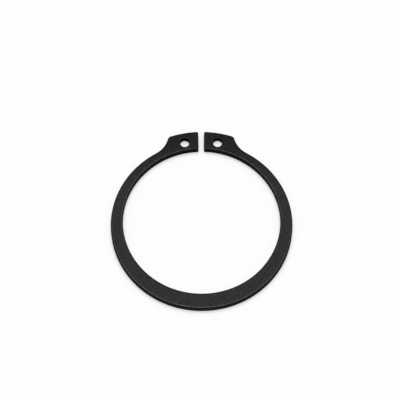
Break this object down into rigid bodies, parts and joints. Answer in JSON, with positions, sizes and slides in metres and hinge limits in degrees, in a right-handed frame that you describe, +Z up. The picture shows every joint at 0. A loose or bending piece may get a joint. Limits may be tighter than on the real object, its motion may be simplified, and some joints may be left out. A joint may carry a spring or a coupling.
{
  "type": "snap ring",
  "caption": "Flat external snap ring of black spring steel, tapered towards its gap, with a lug and a plier hole at each free end.",
  "frame": {"origin": "on the bore's axis, in the plane of the underside", "axes": "+Z up the bore's axis through the thickness, +Y towards the gap and the lugs, +X to the right with the gap at the far side"},
  "size_m": [0.042, 0.0447, 0.0018],
  "materials": {
    "phosphated_spring_steel": "satin"
  },
  "bodies": {
    "root": {"snap_ring": "phosphated_spring_steel"}
  },
  "joints": []
}
